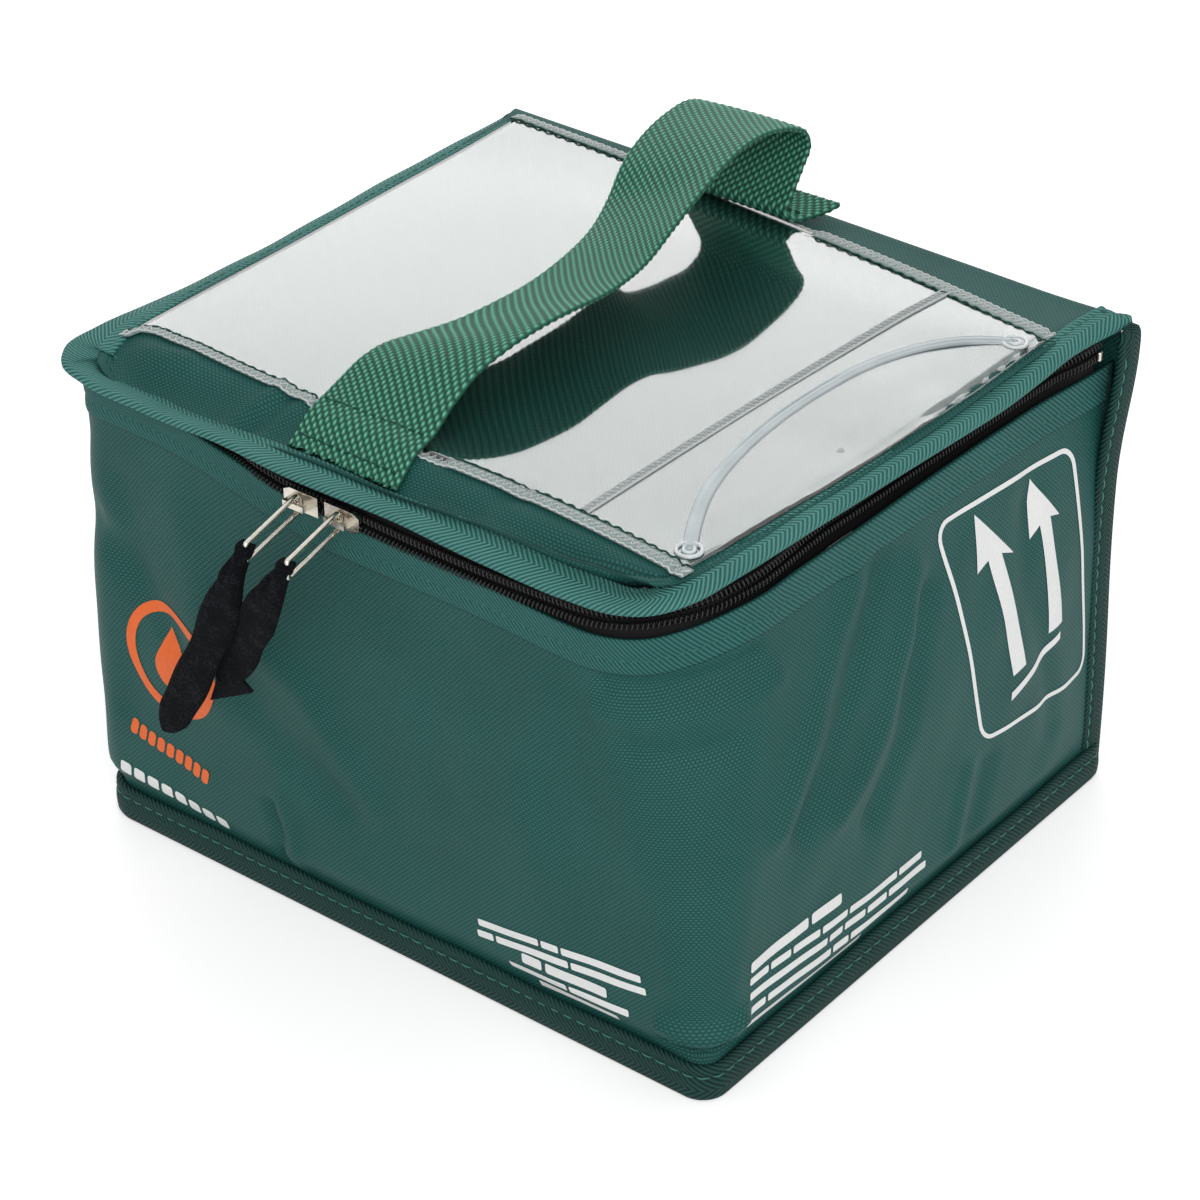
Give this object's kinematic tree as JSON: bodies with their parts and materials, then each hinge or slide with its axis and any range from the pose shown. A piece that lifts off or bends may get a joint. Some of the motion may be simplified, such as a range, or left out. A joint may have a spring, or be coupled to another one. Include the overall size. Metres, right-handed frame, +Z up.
{
  "type": "insulated specimen transport box",
  "caption": "Soft insulated box of coated nylon for carrying specimens, with a zipped lid on a cloth hinge, a clear document window and a webbing handle over the lid.",
  "frame": {"origin": "centre of the base, on the surface that the box stands on", "axes": "+X from left to right along the front, +Y from the front to the hinged back, +Z up"},
  "size_m": [0.229, 0.2219, 0.1878],
  "materials": {
    "coated_nylon": "matte",
    "herringbone_tape": "matte",
    "base_tape": "matte",
    "webbing": "matte",
    "insulating_foam": "matte",
    "stiffener_board": "matte",
    "liner_vinyl": "satin",
    "zip_tape": "matte",
    "zip_coil": "satin",
    "slider_metal": "satin",
    "felt_strap": "matte",
    "clear_vinyl": "gloss"
  },
  "bodies": {
    "box": {"base_panel": "coated_nylon", "base_binding": "base_tape", "wall_shell": "coated_nylon", "back_panel": "coated_nylon", "corner_binding_left": "base_tape", "corner_binding_right": "base_tape", "wall_facing": "herringbone_tape", "foam_base": "insulating_foam", "foam_front": "insulating_foam", "foam_back": "insulating_foam", "foam_left": "insulating_foam", "foam_right": "insulating_foam", "base_board": "stiffener_board", "liner_tub": "liner_vinyl", "zip_tape_lower": "zip_tape", "zip_coil_lower": "zip_coil", "zip_stops": "slider_metal"},
    "lid": {"lid_panel": "coated_nylon", "lid_binding": "herringbone_tape", "foam_lid": "insulating_foam", "lid_liner": "liner_vinyl", "zip_coil_upper": "zip_coil", "zip_tape_upper": "zip_tape", "window_sheet": "clear_vinyl", "window_edging_front": "clear_vinyl", "window_edging_back": "clear_vinyl", "window_divider": "clear_vinyl", "slit_lip": "clear_vinyl", "slit_rings": "clear_vinyl", "handle_webbing": "webbing"},
    "slider_left": {"slider_left": "slider_metal"},
    "slider_right": {"slider_right": "slider_metal"},
    "pull_left": {"pull_left": "slider_metal"},
    "pull_right": {"pull_right": "slider_metal"},
    "strap_left": {"pull_strap_left": "felt_strap"},
    "strap_right": {"pull_strap_right": "felt_strap"}
  },
  "joints": [
    {"name": "lid_hinge", "type": "hinge", "parent": "box", "child": "lid", "pos_m": [0, 0.0955, 0.1525], "axis": [-1, 0, 0], "range_deg": [0, 180]},
    {"name": "slider_left_slide", "type": "slide", "parent": "box", "child": "slider_left", "axis": [-1, 0, 0], "range_m": [0, 0.07]},
    {"name": "slider_right_slide", "type": "slide", "parent": "box", "child": "slider_right", "axis": [1, 0, 0], "range_m": [0, 0.1]},
    {"name": "pull_left_swing", "type": "hinge", "parent": "slider_left", "child": "pull_left", "pos_m": [-0.022, -0.09985, 0.139], "axis": [0, 0, 1], "range_deg": [-70, 0]},
    {"name": "pull_right_swing", "type": "hinge", "parent": "slider_right", "child": "pull_right", "pos_m": [-0.0075, -0.09985, 0.139], "axis": [0, 0, 1], "range_deg": [0, 70]},
    {"name": "strap_left_turn", "type": "hinge", "parent": "pull_left", "child": "strap_left", "pos_m": [-0.022, -0.12035, 0.1338], "axis": [0, 0, 1], "range_deg": [0, 70]},
    {"name": "strap_right_turn", "type": "hinge", "parent": "pull_right", "child": "strap_right", "pos_m": [-0.0075, -0.12035, 0.1338], "axis": [0, 0, 1], "range_deg": [-70, 0]}
  ],
  "couplings": [
    {"joint": "strap_left_turn", "follows": "pull_left_swing", "ratio": -1},
    {"joint": "strap_right_turn", "follows": "pull_right_swing", "ratio": -1}
  ]
}
